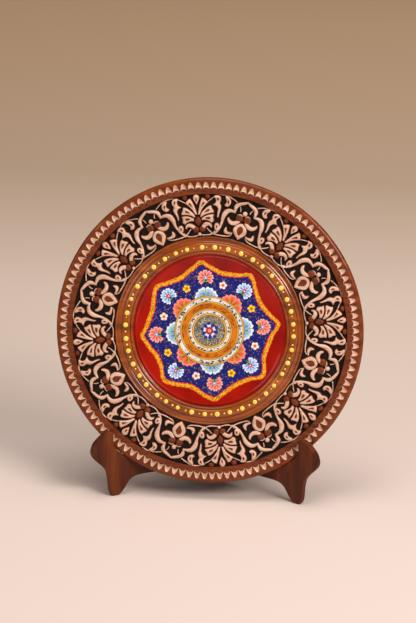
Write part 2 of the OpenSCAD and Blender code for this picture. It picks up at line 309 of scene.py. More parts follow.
def edge_distance(point, outline):
    """The distance from the point to the outline's nearest edge."""
    x, y = point
    best = 1e9
    for (x0, y0), (x1, y1) in zip(outline, outline[1:] + outline[:1]):
        dx, dy = x1 - x0, y1 - y0
        long = dx * dx + dy * dy or 1e-12
        t = min(max(((x - x0) * dx + (y - y0) * dy) / long, 0.0), 1.0)
        best = min(best, math.hypot(x - x0 - t * dx, y - y0 - t * dy))
    return best


def area(outline):
    return sum(a[0] * b[1] - b[0] * a[1] for a, b in zip(outline, outline[1:] + outline[:1])) / 2


def inset(outline, depth):
    """The outline moved inwards by depth, or outwards if depth is negative, without the points that would
    cross to another side."""
    sign = 1 if area(outline) > 0 else -1
    out = []
    for i, p in enumerate(outline):
        before, after = outline[i - 1], outline[(i + 1) % len(outline)]
        dx, dy = after[0] - before[0], after[1] - before[1]
        length = math.hypot(dx, dy) or 1.0
        q = (p[0] - sign * dy / length * depth, p[1] + sign * dx / length * depth)
        if inside(q, outline) == (depth > 0) and edge_distance(q, outline) > abs(depth) * 0.86:
            out.append(q)
    return out


class Shell:
    """Vertices, faces and one mark for each face: a number or a colour."""

    def __init__(self):
        self.vertices, self.faces, self.marks = [], [], []

    def take(self, vertices, faces, marks):
        first = len(self.vertices)
        self.vertices += [tuple(v) for v in vertices]
        self.faces += [tuple(first + i for i in face) for face in faces]
        self.marks += marks

    def mirror(self):
        """Adds the mirror image in x."""
        count = len(self.vertices)
        self.vertices += [(-x, y, z) for x, y, z in self.vertices]
        self.faces += [tuple(count + i for i in reversed(face)) for face in self.faces]
        self.marks += list(self.marks)

    def turn(self, angle):
        """Turns everything clockwise by angle about the plate's axis."""
        c, s = math.cos(angle), math.sin(angle)
        self.vertices = [(x * c + y * s, y * c - x * s, z) for x, y, z in self.vertices]


def triangles(outline, loops=(), dots=()):
    """Triangles that fill the outline, with the loops among their edges, as (points, faces)."""
    points, edges = [], []
    for loop in (outline, *loops):
        first = len(points)
        points += [Vector(p) for p in loop]
        edges += [(first + i, first + (i + 1) % len(loop)) for i in range(len(loop))]
    points += [Vector(p) for p in dots]
    made, _, faces, *_ = geometry.delaunay_2d_cdt(points, edges, [], 0, 1e-4)
    kept = []
    for face in faces:
        corners = [made[i] for i in face]
        centre = sum(corners, Vector((0, 0))) / 3
        if inside(centre, outline):
            turn = (corners[1] - corners[0]).cross(corners[2] - corners[0])
            kept.append(tuple(face) if turn > 0 else tuple(reversed(face)))
    return [tuple(p) for p in made], kept


def relief(shell, rim, cores=(), height=RELIEF, slope=0.7, roundness=1.9, spacing=0.95, top=1.0):
    """A carved form that rises from the ground: steep sides outside the rim in the stain's brown, which is
    partly real stain and partly painted shade on the slopes, inside it a rounded top that is bare wood where
    top is 1, and cores that keep the stain and lie a little lower."""
    outline = inset(rim, -slope)
    loops = [rim]
    loops += [list(core) for core in cores]
    xs, ys = [p[0] for p in outline], [p[1] for p in outline]
    dots = []
    row = 0
    y = min(ys)
    while y < max(ys):
        x = min(xs) + (row % 2) * spacing / 2
        while x < max(xs):
            clear = inside((x, y), outline) and edge_distance((x, y), outline) > slope + spacing * 0.35
            if clear and all(edge_distance((x, y), core) > spacing * 0.3 for core in cores):
                dots.append((x, y))
            x += spacing
        y += spacing * 0.87
        row += 1
    points, faces = triangles(outline, loops, dots)

    def lift(p):
        deep = min(edge_distance(p, outline) / roundness, 1.0)
        rise = height * math.sqrt(max(0.0, 1 - (1 - deep) ** 2))
        for core in cores:
            if inside(p, core):
                rise -= min(edge_distance(p, core), 0.6) * 0.8
        return rise

    tops = [(x, y, GROUND + lift((x, y))) for x, y in points]
    bottoms = [(x, y, GROUND - 0.3) for x, y in points]
    marks = []
    for face in faces:
        centre = tuple(sum(points[i][k] for i in face) / 3 for k in (0, 1))
        # Sides outside the rim get the stain's brown: real stain, and painted shade on the slopes all round.
        stained = any(inside(centre, core) for core in cores) or not inside(centre, rim)
        marks.append(0.0 if stained else top)
    count = len(points)
    uses = {}
    for face in faces:
        for a, b in zip(face, face[1:] + face[:1]):
            uses[(a, b)] = True
    walls = [(a, a + count, b + count, b) for a, b in uses if (b, a) not in uses]
    under = [tuple(count + i for i in reversed(face)) for face in faces]
    shell.take(tops + bottoms, faces + under + walls, marks + [0.0] * (len(under) + len(walls)))


def mesh_from(name, shell, attribute=None, smooth_angle=35):
    """A mesh of the shell, with its marks as the named attribute."""
    made = bpy.data.meshes.new(name)
    made.from_pydata(shell.vertices, [], shell.faces)
    if attribute:
        is_colour = attribute == "tint"
        values = []
        for face, mark in zip(shell.faces, shell.marks):
            values += list(mark) * len(face) if is_colour else [mark] * len(face)
        layer = made.attributes.new(attribute, "FLOAT_COLOR" if is_colour else "FLOAT", "CORNER")
        layer.data.foreach_set("color" if is_colour else "value", values)
    made.shade_smooth()
    made.set_sharp_from_angle(angle=math.radians(smooth_angle))
    return made


def place(name, mesh, matrix, body, node_names=(), slot=None, material=None):
    """Finishes a piece: its mesh goes to its place in the row's frame, and it rides on its body."""
    mesh.transform(matrix)
    mesh.name = name
    if material:
        mesh.materials.clear()
        mesh.materials.append(material)
    made = bpy.data.objects.new(name, mesh)
    bpy.context.scene.collection.objects.link(made)
    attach(made, body)
    if node_names:
        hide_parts(*node_names)
    return made


# ---------------------------------------------------------------- geometry nodes that repeat a shape

def new_tree(name, sockets):
    """A geometry tree with the named inputs, as (tree, input node, output node)."""
    tree = bpy.data.node_groups.new(name, "GeometryNodeTree")
    tree.interface.new_socket("Geometry", in_out="INPUT", socket_type="NodeSocketGeometry")
    for label, kind in sockets:
        tree.interface.new_socket(label, in_out="INPUT", socket_type=kind)
    tree.interface.new_socket("Geometry", in_out="OUTPUT", socket_type="NodeSocketGeometry")
    return tree, add(tree, "NodeGroupInput"), add(tree, "NodeGroupOutput")


def maths(tree, operation, *values):
    """The output of a Math node."""
    return add(tree, "ShaderNodeMath", dict(enumerate(values)), operation=operation).outputs[0]


def ring_tree():
    """Repeats its geometry Count times round the axis. Each copy is turned with the ring, may be a little
    out of place and size, and the whole then wavers by up to Waver, as hand work does."""
    tree, given, result = new_tree("repeat round the axis", [
        ("Count", "NodeSocketInt"), ("Start", "NodeSocketFloat"), ("Radius", "NodeSocketFloat"),
        ("Depth", "NodeSocketFloat"), ("Size Spread", "NodeSocketFloat"), ("Angle Spread", "NodeSocketFloat"),
        ("Spin", "NodeSocketFloat"), ("Waver", "NodeSocketFloat"), ("Weld", "NodeSocketFloat"),
        ("Seed", "NodeSocketInt"), ("Material", "NodeSocketMaterial")])
    want = given.outputs
    index = add(tree, "GeometryNodeInputIndex").outputs[0]
    step = maths(tree, "DIVIDE", TAU, want["Count"])
    stray = add(tree, "FunctionNodeRandomValue", {2: -1.0, 3: 1.0, "ID": index, "Seed": want["Seed"]},
                data_type="FLOAT").outputs[1]
    swell = add(tree, "FunctionNodeRandomValue", {2: -1.0, 3: 1.0, "ID": index, "Seed": maths(
        tree, "ADD", want["Seed"], 7.0)}, data_type="FLOAT").outputs[1]
    even = maths(tree, "MULTIPLY_ADD", index, step, want["Start"])
    angle = maths(tree, "MULTIPLY_ADD", stray, want["Angle Spread"], even)
    x = maths(tree, "MULTIPLY", maths(tree, "SINE", angle), want["Radius"])
    y = maths(tree, "MULTIPLY", maths(tree, "COSINE", angle), want["Radius"])
    spot = add(tree, "ShaderNodeCombineXYZ", {0: x, 1: y, 2: want["Depth"]})
    points = add(tree, "GeometryNodePoints", {"Count": want["Count"], "Position": spot.outputs[0]})
    spin = maths(tree, "MULTIPLY_ADD", stray, want["Spin"], maths(tree, "MULTIPLY", angle, -1.0))
    turn = add(tree, "ShaderNodeCombineXYZ", {2: spin})
    scale = maths(tree, "MULTIPLY_ADD", swell, want["Size Spread"], 1.0)
    copies = add(tree, "GeometryNodeInstanceOnPoints", {
        "Points": points.outputs[0], "Instance": want["Geometry"], "Rotation": turn.outputs[0],
        "Scale": add(tree, "ShaderNodeCombineXYZ", {0: scale, 1: scale, 2: scale}).outputs[0]})
    real = add(tree, "GeometryNodeRealizeInstances", {"Geometry": copies.outputs[0]})
    welded = add(tree, "GeometryNodeMergeByDistance", {"Geometry": real.outputs[0], "Distance": want["Weld"]})
    where = add(tree, "GeometryNodeInputPosition")
    drift = add(tree, "ShaderNodeTexNoise", {"Vector": where.outputs[0], "Scale": 0.07, "Detail": 1.0})
    centred = add(tree, "ShaderNodeVectorMath", {0: drift.outputs["Color"], 1: (0.5, 0.5, 0.5)},
                  operation="SUBTRACT")
    flat = add(tree, "ShaderNodeVectorMath", {0: centred.outputs[0], 1: (1.0, 1.0, 0.0)},
               operation="MULTIPLY")
    push = add(tree, "ShaderNodeVectorMath", {0: flat.outputs[0], "Scale": want["Waver"]}, operation="SCALE")
    bent = add(tree, "GeometryNodeSetPosition", {"Geometry": welded.outputs[0], "Offset": push.outputs[0]})
    done = add(tree, "GeometryNodeSetMaterial", {"Geometry": bent.outputs[0], "Material": want["Material"]})
    tree.links.new(done.outputs[0], result.inputs[0])
    return tree


def scatter_tree():
    """Strews small flat dashes over its geometry, each turned at random and carrying one tint."""
    tree, given, result = new_tree("strew dashes", [
        ("Density", "NodeSocketFloat"), ("Length", "NodeSocketFloat"), ("Width", "NodeSocketFloat"),
        ("Thickness", "NodeSocketFloat"), ("Tint", "NodeSocketColor"), ("Seed", "NodeSocketInt"),
        ("Material", "NodeSocketMaterial")])
    want = given.outputs
    points = add(tree, "GeometryNodeDistributePointsOnFaces", {
        "Mesh": want["Geometry"], "Density": want["Density"], "Seed": want["Seed"]})
    size = add(tree, "ShaderNodeCombineXYZ", {0: want["Length"], 1: want["Width"], 2: want["Thickness"]})
    dash = add(tree, "GeometryNodeMeshCube", {"Size": size.outputs[0]})
    index = add(tree, "GeometryNodeInputIndex").outputs[0]
    heading = add(tree, "FunctionNodeRandomValue", {2: 0.0, 3: TAU, "ID": index, "Seed": want["Seed"]},
                  data_type="FLOAT").outputs[1]
    stretch = add(tree, "FunctionNodeRandomValue", {2: 0.5, 3: 1.3, "ID": index, "Seed": maths(
        tree, "ADD", want["Seed"], 3.0)}, data_type="FLOAT").outputs[1]
    copies = add(tree, "GeometryNodeInstanceOnPoints", {
        "Points": points.outputs[0], "Instance": dash.outputs[0],
        "Rotation": add(tree, "ShaderNodeCombineXYZ", {2: heading}).outputs[0],
        "Scale": add(tree, "ShaderNodeCombineXYZ", {0: stretch, 1: 1.0, 2: 1.0}).outputs[0]})
    real = add(tree, "GeometryNodeRealizeInstances", {"Geometry": copies.outputs[0]})
    tinted = add(tree, "GeometryNodeStoreNamedAttribute", {
        "Geometry": real.outputs[0], "Name": "tint", "Value": want["Tint"]},
        data_type="FLOAT_COLOR", domain="CORNER")
    done = add(tree, "GeometryNodeSetMaterial", {"Geometry": tinted.outputs[0], "Material": want["Material"]})
    tree.links.new(done.outputs[0], result.inputs[0])
    return tree


RING = ring_tree()
SCATTER = scatter_tree()


def grow(tree, mesh, **wanted):
    """The plain mesh that a tree makes of a mesh. Inputs are given by name and set by identifier."""
    seed = bpy.data.objects.new("seed", mesh)
    bpy.context.scene.collection.objects.link(seed)
    maker = seed.modifiers.new("maker", "NODES")
    maker.node_group = tree
    for item in tree.interface.items_tree:
        key = item.name.lower().replace(" ", "_")
        if item.in_out == "INPUT" and key in wanted:
            maker[item.identifier] = wanted[key]
    shown = seed.evaluated_get(bpy.context.evaluated_depsgraph_get())
    grown = bpy.data.meshes.new_from_object(shown)
    bpy.data.objects.remove(seed)
    return grown


def ring_of(mesh, count, material, start=0.0, radius=0.0, depth=0.0, size_spread=0.0, angle_spread=0.0,
            spin=0.0, waver=0.0, weld=0.0, seed=1):
    return grow(RING, mesh, count=count, start=start, radius=radius, depth=depth, size_spread=size_spread,
                angle_spread=angle_spread, spin=spin, waver=waver, weld=weld, seed=seed, material=material)


# ---------------------------------------------------------------- turned pieces

def turned(name, profile, segments=240, smooth_angle=35):
    """A closed solid of revolution about the plate's axis from (radius, depth) points that go from the back's
    centre round to the front's centre, or round a ring's section."""
    on_axis = profile[0][0] < 1e-6
    rings = profile[1:-1] if on_axis else profile
    shell = Shell()
    vertices = [(r * math.sin(TAU * i / segments), r * math.cos(TAU * i / segments), w)
                for r, w in rings for i in range(segments)]
    faces = []
    pairs = len(rings) - 1 if on_axis else len(rings)
    for k in range(pairs):
        here, there = k * segments, (k + 1) % len(rings) * segments
        for i in range(segments):
            j = (i + 1) % segments
            faces.append((here + i, there + i, there + j, here + j))
    if on_axis:
        back, front = len(vertices), len(vertices) + 1
        vertices += [(0, 0, profile[0][1]), (0, 0, profile[-1][1])]
        last = (len(rings) - 1) * segments
        for i in range(segments):
            j = (i + 1) % segments
            faces.append((back, i, j))
            faces.append((front, last + j, last + i))
    shell.take(vertices, faces, [0.0] * len(faces))
    made = mesh_from(name, shell, smooth_angle=smooth_angle)
    tidy = bmesh.new()
    tidy.from_mesh(made)
    bmesh.ops.recalc_face_normals(tidy, faces=tidy.faces)
    tidy.to_mesh(made)
    tidy.free()
    return made


def arc(cx, cy, r, start, end, count):
    """Points of an arc in a section, from one angle to the other in degrees."""
    return [(cx + r * math.cos(math.radians(start + (end - start) * i / count)),
             cy + r * math.sin(math.radians(start + (end - start) * i / count))) for i in range(count + 1)]


CUT_OUT = PLATE_R - 3.6
CUT_MIDDLE = 141.2


def plate_blank():
    """The turned blank: a foot with two lathe lines, a sloping back, a rounded rim, and below the carving the
    bed that the border and the centre are set in."""
    round_r = 3.2
    lathe_lines = [(r + dr, dw) for r in (30.0, 58.0) for dr, dw in ((-0.6, 0), (0, 0.5), (0.6, 0))]
    profile = [(0, 0), *lathe_lines, (FOOT_R - 1.2, 0), (FOOT_R - 0.3, 0.4), (FOOT_R, 1.2),
               (FOOT_R + 1.0, 2.2), (FOOT_R + 4, 2.7), (PLATE_R - 8, EDGE_BACK - 1),
               (PLATE_R - 5, EDGE_BACK - 0.4)]
    profile += arc(PLATE_R - round_r, EDGE_BACK + round_r, round_r, -75, 0, 6)
    profile += arc(PLATE_R - round_r, FACE - round_r, round_r, 0, 90, 7)
    profile += [(CUT_OUT, FACE), (CUT_OUT, FACE - 1.6), (BORDER_OUT, FACE - 1.6), (BORDER_OUT, GROUND - 0.6),
                (BORDER_IN, GROUND - 0.6), (BORDER_IN, SEAT), (0, SEAT)]
    place("plate_blank", turned("blank", profile, 360), PLATE, "plate", ["turned_plate"], "stained_walnut",
          RIM_WALNUT)


def rim_cuts():
    """One gouge cut at the rim with its scallop and nicks, repeated as a closed ring let into the blank."""
    half = TAU / CUTS / 2 * CUT_MIDDLE
    inner, outer = BORDER_OUT - CUT_MIDDLE, CUT_OUT - CUT_MIDDLE
    cut = spline(both_sides([(0, 4.9), (0.9, 4.45), (1.75, 3.1), (2.35, 1.2), (2.85, -0.7), (3.3, -2.3),
                             (3.3, -2.3), (2.3, -1.15), (1.2, -0.6), (0, -0.45)]), 3)
    nick = [(half, -2.0), (half - 0.42, -2.9), (half - 0.3, -3.4), (half, -3.7)]
    sides = [-3.7, -3.4, -2.9, -2.0, 0.0, 2.5]
    frame_points = [(-half, inner)] + [(x, inner) for x in (-half / 3, half / 3)] + [(half, inner)]
    frame_points += [(half, y) for y in sides] + [(half, outer), (half / 3, outer), (-half / 3, outer)]
    frame_points += [(-half, outer)] + [(-half, y) for y in reversed(sides)]
    dots = [(x, y) for y in (-0.1, 0.9, 1.9, 2.9, 3.8) for x in (-1.2, -0.4, 0.4, 1.2)]
    dots = [p for p in dots if inside(p, cut) and edge_distance(p, cut) > 0.3]
    dots += ellipse(0, -3.9, 2.3, 1.6, count=8) + ellipse(0, -3.9, 1.1, 0.7, count=6)
    nicks = [nick, [(-x, y) for x, y in nick]]
    points, faces = triangles(frame_points, [cut, *nicks], dots)

    def dip(p):
        if inside(p, cut):
            return -min(edge_distance(p, cut) * 1.1, 1.0)
        if any(inside(p, n) or edge_distance(p, n) < 0.02 for n in nicks) and abs(p[0]) > half - 0.1:
            return -0.7
        scallop = math.hypot(p[0], p[1] + 4.4)
        if p[1] < -0.4 and scallop < 3.6:
            return -0.35 + 0.35 * math.sqrt(1 - (scallop / 3.6) ** 2)
        return -0.5 if p[1] < -2.2 else 0.0

    shell = Shell()
    vertices = []
    for x, y in points:
        r, a = CUT_MIDDLE + y, x / CUT_MIDDLE
        vertices.append((r * math.sin(a), r * math.cos(a), FACE + dip((x, y))))
    marks = []
    for face in faces:
        centre = tuple(sum(points[i][k] for i in face) / 3 for k in (0, 1))
        # Faces in a nick are marked -1, which the carved material paints near-black as painted shade.
        in_shaded_nick = any(inside(centre, n) for n in nicks)
        marks.append(-1.0 if in_shaded_nick else 1.0 if inside(centre, cut) else 0.0)
    # The ring's edges go down to its flat bottom, so that the welded ring is closed.
    count = len(vertices)
    low = [(x, y, FACE - 1.58) for x, y, _ in vertices]
    uses = {(a, b) for face in faces for a, b in zip(face, face[1:] + face[:1])}
    walls = []
    for a, b in uses:
        on_side = abs(abs(points[a][0]) - half) < 1e-4 and abs(abs(points[b][0]) - half) < 1e-4
        if (b, a) not in uses and not on_side:
            walls.append((a, a + count, b + count, b))
    under = [tuple(count + i for i in reversed(face)) for face in faces]
    shell.take(vertices + low, faces + under + walls, marks + [0.0] * (len(under) + len(walls)))
    tile = mesh_from("cut", shell, "bare", 40)
    made = ring_of(tile, CUTS, CARVED, start=SECTOR / 30, weld=0.002)
    place("rim_cuts", made, PLATE, "plate", ["rim_leaves"], "pale_carved_wood")


def border_ground():
    """The sunk ring of black ground between rim and moulding."""
    section = [(BORDER_IN + 0.05, GROUND), (BORDER_IN + 0.05, GROUND - 0.55),
               (BORDER_OUT - 0.05, GROUND - 0.55), (BORDER_OUT - 0.05, GROUND)]
    place("black_ground", turned("ground", section), PLATE, "plate", ["border_ground"],
          "black_stained_ground", BLACK)


def moulding():
    """The turned ring: an outer bead, a cove, a crowned band for the dots, and a small inner bead."""
    ro, ri = BORDER_IN - 0.1, DISH_R + 0.1
    section = [(ri, SEAT + 0.1), (ro, SEAT + 0.1), (ro, CREST - 1.6)]
    section += arc(ro - 0.95, CREST - 1.25, 0.95, 0, 180, 8)
    section += [(ro - 2.1, CREST - 1.95), (ro - 3.6, CREST - 2.05), (ro - 5.0, CREST - 1.6),
                (ro - 5.4, CREST - 1.25), (ro - 5.7, CREST - 1.35)]
    crown_half, crown_mid, crown_high = 4.1, ri + 7.2, 1.9
    for t in range(0, 181, 15):
        c, s = math.cos(math.radians(t)), math.sin(math.radians(t))
        section.append((crown_mid + crown_half * c, CREST - crown_high + crown_high * s))
    section += [(ri + 2.8, CREST - 1.9)]
    section += arc(ri + 1.6, CREST - 1.7, 0.9, 10, 170, 7)
    section += [(ri + 0.4, CREST - 2.2), (ri, CREST - 2.4)]
    place("moulding", turned("moulding", section, 256), PLATE, "plate", ["moulding_ring"], "stained_walnut",
          WALNUT)


def drop(radius, height, sides=14):
    """One raised drop of paint, a low dome that is closed below."""
    shell = Shell()
    rings = [(radius, -0.3), (radius, 0.0), (radius * 0.86, height * 0.55), (radius * 0.5, height * 0.9)]
    vertices = [(r * math.cos(TAU * i / sides), r * math.sin(TAU * i / sides), z)
                for r, z in rings for i in range(sides)]
    faces = [(k * sides + i, k * sides + (i + 1) % sides, (k + 1) * sides + (i + 1) % sides,
              (k + 1) * sides + i)
             for k in range(len(rings) - 1) for i in range(sides)]
    vertices.append((0, 0, height))
    last = (len(rings) - 1) * sides
    faces += [(last + i, last + (i + 1) % sides, len(vertices) - 1) for i in range(sides)]
    faces.append(tuple(reversed(range(sides))))
    shell.take(vertices, faces, [0.0] * len(faces))
    return mesh_from("drop", shell, smooth_angle=50)


def gold_drops():
    """A large drop, then a small one, all round the crowned band, none quite like the next."""
    count = 40
    ring_r = DISH_R + 7.3
    large = ring_of(drop(2.3, 0.75), count, GOLD, radius=ring_r, depth=CREST, size_spread=0.12,
                    angle_spread=0.016, seed=3)
    small = ring_of(drop(0.85, 0.35, 10), count, GOLD, start=TAU / count / 2, radius=ring_r, depth=CREST,
                    size_spread=0.25, angle_spread=0.02, seed=8)
    place("large_gold_drops", large, PLATE, "plate", ["gold_dots"], "gold_relief_paint")
    place("small_gold_drops", small, PLATE, "plate", [], "gold_relief_paint")


# ---------------------------------------------------------------- the carving

def carve_ring(name, shell, node_name, slot="pale_carved_wood", start=0.0):
    made = ring_of(mesh_from(name, shell, "bare", 60), REPEATS, CARVED, start=start, waver=1.6)
    place(name, made, PLATE, "plate", [node_name] if node_name else [], slot)


def palmettes():
    """A bud, three pairs of leaves with stained cores, a lozenge, two curls and two discs."""
    shell = Shell()
    leaves = [([(0.55, 114.6), (0.55, 114.6), (1.5, 118.6), (3.1, 124.4), (5.6, 130.3), (5.6, 130.3),
                (8.0, 129.4), (11.1, 125.9), (11.1, 125.9), (8.2, 123.6), (4.6, 119.4), (2.4, 115.0),
                (2.4, 115.0)],
               [(3.9, 121.6), (5.0, 124.4), (6.5, 126.7), (8.1, 125.3), (6.3, 123.6)]),
              ([(2.5, 112.4), (2.5, 112.4), (4.2, 115.8), (7.4, 119.0), (11.2, 121.6), (13.8, 121.9),
                (13.8, 121.9), (14.0, 119.8), (15.6, 116.6), (15.4, 115.4), (15.4, 115.4), (11.0, 114.9),
                (6.6, 113.8), (3.4, 111.8), (3.4, 111.8)],
               [(7.0, 116.1), (9.2, 118.2), (11.6, 119.1), (11.8, 117.2), (9.4, 116.2)]),
              ([(4.0, 110.5), (4.0, 110.5), (7.2, 112.2), (11.4, 113.4), (15.6, 113.3), (15.6, 113.3),
                (14.8, 110.6), (15.0, 107.2), (12.8, 105.7), (12.8, 105.7), (9.6, 108.0), (6.6, 108.7),
                (4.0, 108.4), (4.0, 108.4)],
               [(7.4, 110.4), (9.8, 111.6), (12.4, 110.9), (11.4, 109.0), (9.2, 109.3)])]
    for outline, core in leaves:
        relief(shell, spline(outline, 3), [spline(core, 3)])
    relief(shell, spline([(2.9, 102.6), (4.4, 104.6), (7.0, 106.1), (9.6, 106.1), (11.8, 104.9),
                          (12.7, 102.6), (12.4, 101.2), (11.6, 101.4), (10.8, 102.7), (9.0, 103.0),
                          (7.2, 102.2), (5.6, 100.9), (4.6, 101.4)], 3))
    relief(shell, ellipse(3.1, 99.9, 2.55, 2.55, count=18), top=0.0, height=2.0)
    shell.mirror()
    relief(shell, spline(both_sides([(0, 134.0), (1.4, 133.6), (2.7, 131.6), (2.5, 129.4), (1.3, 127.0),
                                     (0, 124.6), (0, 124.6)]), 4), [ellipse(0, 129.0, 0.8, 1.8, count=10)])
    relief(shell, spline(both_sides([(0, 112.0), (1.6, 110.4), (2.6, 108.0), (1.6, 105.6), (0, 103.6)]), 4),
           top=0.0, height=1.9)
    relief(shell, ellipse(0, 95.4, 1.55, 1.55, count=14), slope=0.25, roundness=1.3)
    carve_ring("palmettes", shell, "palmette_carvings")


def lyres():
    """Two bands from the moulding that swell, break at a cusp and meet in a point under the rim."""
    shell = Shell()
    band = [(13.1, 94.3), (16.8, 97.9), (19.4, 101.3), (21.5, 105.6), (22.3, 110.1), (23.9, 113.7),
            (26.3, 116.2), (29.3, 117.5), (32.7, 117.1), (35.9, 115.4), (35.9, 115.4), (36.4, 118.6),
            (37.8, 120.9), (40.6, 122.1), (44.8, 122.5), (50.6, 122.2), (50.6, 122.2), (49.9, 120.5),
            (49.9, 120.5), (47.6, 119.9), (44.0, 119.6), (41.0, 118.8), (38.9, 116.6), (36.9, 112.9),
            (36.9, 112.9), (34.2, 113.8), (31.0, 113.9), (28.4, 112.2), (26.0, 109.2), (23.9, 105.3),
            (22.0, 101.6), (19.6, 98.0), (16.4, 95.0), (14.2, 93.6), (14.2, 93.6)]
    relief(shell, spline(band, 3), slope=0.35)
    shell.mirror()
    carve_ring("lyres", shell, "lyre_carvings")


def blossoms():
    """Between two palmettes: a drop that points inwards, two discs, two horned beans and a bead."""
    shell = Shell()
    relief(shell, spline([(2.4, 111.4), (3.5, 109.5), (5.8, 107.2), (8.7, 106.3), (11.6, 106.7),
                          (13.8, 108.4), (15.0, 110.5), (14.7, 112.2), (13.9, 112.2), (12.7, 110.9),
                          (10.6, 110.0), (8.4, 110.1), (6.4, 111.2), (4.4, 112.0)], 3))
    relief(shell, ellipse(3.9, 114.2, 3.1, 3.1, count=20), top=0.0, height=2.1)
    relief(shell, stroke([(1.2, 117.4), (4.0, 118.4), (6.6, 117.2)], [0.8, 0.9, 0.4]), slope=0.15,
           roundness=0.6)
    shell.mirror()
    relief(shell, spline(both_sides([(0, 94.0), (0, 94.0), (1.6, 95.4), (5.0, 99.0), (6.5, 102.4),
                                     (5.5, 106.3), (2.8, 108.9), (0, 109.9)]), 4),
           [spline(both_sides([(0, 97.8), (1.9, 100.4), (3.1, 103.4), (2.1, 106.2), (0, 107.4)]), 3)])
    relief(shell, ellipse(0, 120.2, 2.2, 2.3, count=18), slope=0.3)
    carve_ring("blossoms", shell, "blossom_carvings", start=SECTOR / 2)


def scrolls():
    """The leaves and thin stems that fill the black ground on both sides of a palmette."""
    shell = Shell()
    s_leaf = [(17.4, 130.2), (18.6, 131.1), (21.8, 131.1), (23.9, 128.9), (23.8, 126.2), (22.2, 123.5),
              (22.2, 123.5), (23.2, 121.0), (22.9, 118.4), (21.2, 115.0), (20.2, 112.5), (19.4, 109.7),
              (18.8, 111.2), (19.3, 114.5), (20.1, 117.6), (19.6, 119.9), (18.0, 121.6), (15.4, 122.5),
              (15.4, 122.5), (17.4, 123.6), (18.9, 125.4), (19.2, 127.2), (18.6, 128.9)]
    relief(shell, spline(s_leaf, 3),
           [spline([(20.4, 129.2), (22.2, 128.2), (21.9, 126.2), (20.6, 126.6)], 3)])
    hook = [(30.2, 129.9), (32.3, 128.4), (33.6, 126.0), (33.8, 123.2), (32.5, 121.1), (30.1, 119.9),
            (28.0, 120.7), (27.5, 122.0), (28.9, 122.8), (29.8, 124.6), (29.4, 127.0), (28.9, 129.1)]
    relief(shell, spline(hook, 3), [spline([(31.0, 126.0), (32.2, 124.2), (31.2, 122.2), (30.4, 123.4)], 3)])
    small_leaf = [(15.1, 102.4), (16.4, 104.4), (18.5, 104.1), (19.7, 102.2), (19.3, 99.6), (17.4, 97.6),
                  (15.9, 98.2), (15.1, 100.2)]
    relief(shell, spline(small_leaf, 3),
           [spline([(16.4, 101.8), (17.7, 102.6), (18.0, 100.6), (16.8, 99.8)], 3)])
    low_hook = [(26.2, 100.0), (24.8, 98.5), (23.9, 96.7), (24.3, 94.6), (26.8, 93.2), (30.4, 92.9),
                (31.9, 93.7), (29.5, 94.5), (27.7, 95.4), (26.6, 97.0), (26.7, 98.7)]
    relief(shell, spline(low_hook, 3))
    stems = [([(39.8, 122.9), (36.2, 126.3), (31.0, 129.9), (26.4, 131.3), (22.4, 131.5)],
              [1.0, 1.0, 1.2, 1.1, 0.8]),
             ([(17.6, 129.8), (14.2, 128.2), (11.0, 126.4)], [0.8, 0.9, 0.7]),
             ([(1.2, 94.6), (4.6, 93.9), (9.0, 93.6), (12.6, 94.6), (15.4, 97.2)],
              [0.7, 1.0, 1.1, 1.1, 1.0]),
             ([(7.6, 100.8), (10.2, 97.6), (13.4, 94.9), (18.2, 92.9), (23.8, 91.6), (28.0, 91.2),
               (31.0, 92.6)], [0.7, 1.0, 1.0, 1.1, 1.1, 1.0, 0.6]),
             ([(42.0, 113.6), (42.4, 116.2), (42.0, 118.6)], [0.7, 0.8, 0.5])]
    for points, widths in stems:
        relief(shell, stroke(points, widths), slope=0.12, roundness=0.55, height=1.7)
    shell.mirror()
    carve_ring("scrolls", shell, "scroll_carvings")


def studs():
    """Round stained studs beside each bud."""
    shell = Shell()
    relief(shell, ellipse(11.2, 131.5, 2.0, 2.0, count=18), top=0.0, height=1.8)
    shell.mirror()
    carve_ring("studs", shell, "border_studs", "stained_walnut")


# ---------------------------------------------------------------- the painted medallion

COAT = 0.05
GOLD_INK, WHITE_INK, BLACK_INK = "#e6b34a", "#f6ece2", "#1c1412"


def dab(shell, outline, code, level):
    """A flat coat of one colour, a closed sheet as thick as its level is high."""
    points = outline if area(outline) > 0 else outline[::-1]
    n = len(points)
    vertices = [(x, y, FLOOR + level * COAT) for x, y in points] + [(x, y, FLOOR - 0.05) for x, y in points]
    faces = [tuple(range(n)), tuple(range(2 * n - 1, n - 1, -1))]
    faces += [(i, n + i, n + (i + 1) % n, (i + 1) % n) for i in range(n)]
    shell.take(vertices, faces, [colour(code)] * len(faces))


def band(shell, outer, inner, code, level):
    """A coat between two outlines with the same number of points."""
    n = len(outer)
    high, low = FLOOR + level * COAT, FLOOR - 0.05
    vertices = [(x, y, z) for z in (high, low) for ring in (outer, inner) for x, y in ring]
    faces = []
    for i in range(n):
        j = (i + 1) % n
        faces += [(i, n + i, n + j, j), (2 * n + i, 2 * n + j, 3 * n + j, 3 * n + i),
                  (2 * n + i, i, j, 2 * n + j), (n + i, 3 * n + i, 3 * n + j, n + j)]
    shell.take(vertices, faces, [colour(code)] * len(faces))


def circle(r, count=144):
    return [(r * math.sin(TAU * i / count), r * math.cos(TAU * i / count)) for i in range(count)]


def paint_mesh(name, shell):
    made = mesh_from(name, shell, "tint", 30)
    tidy = bmesh.new()
    tidy.from_mesh(made)
    bmesh.ops.recalc_face_normals(tidy, faces=tidy.faces)
    tidy.to_mesh(made)
    tidy.free()
    return made


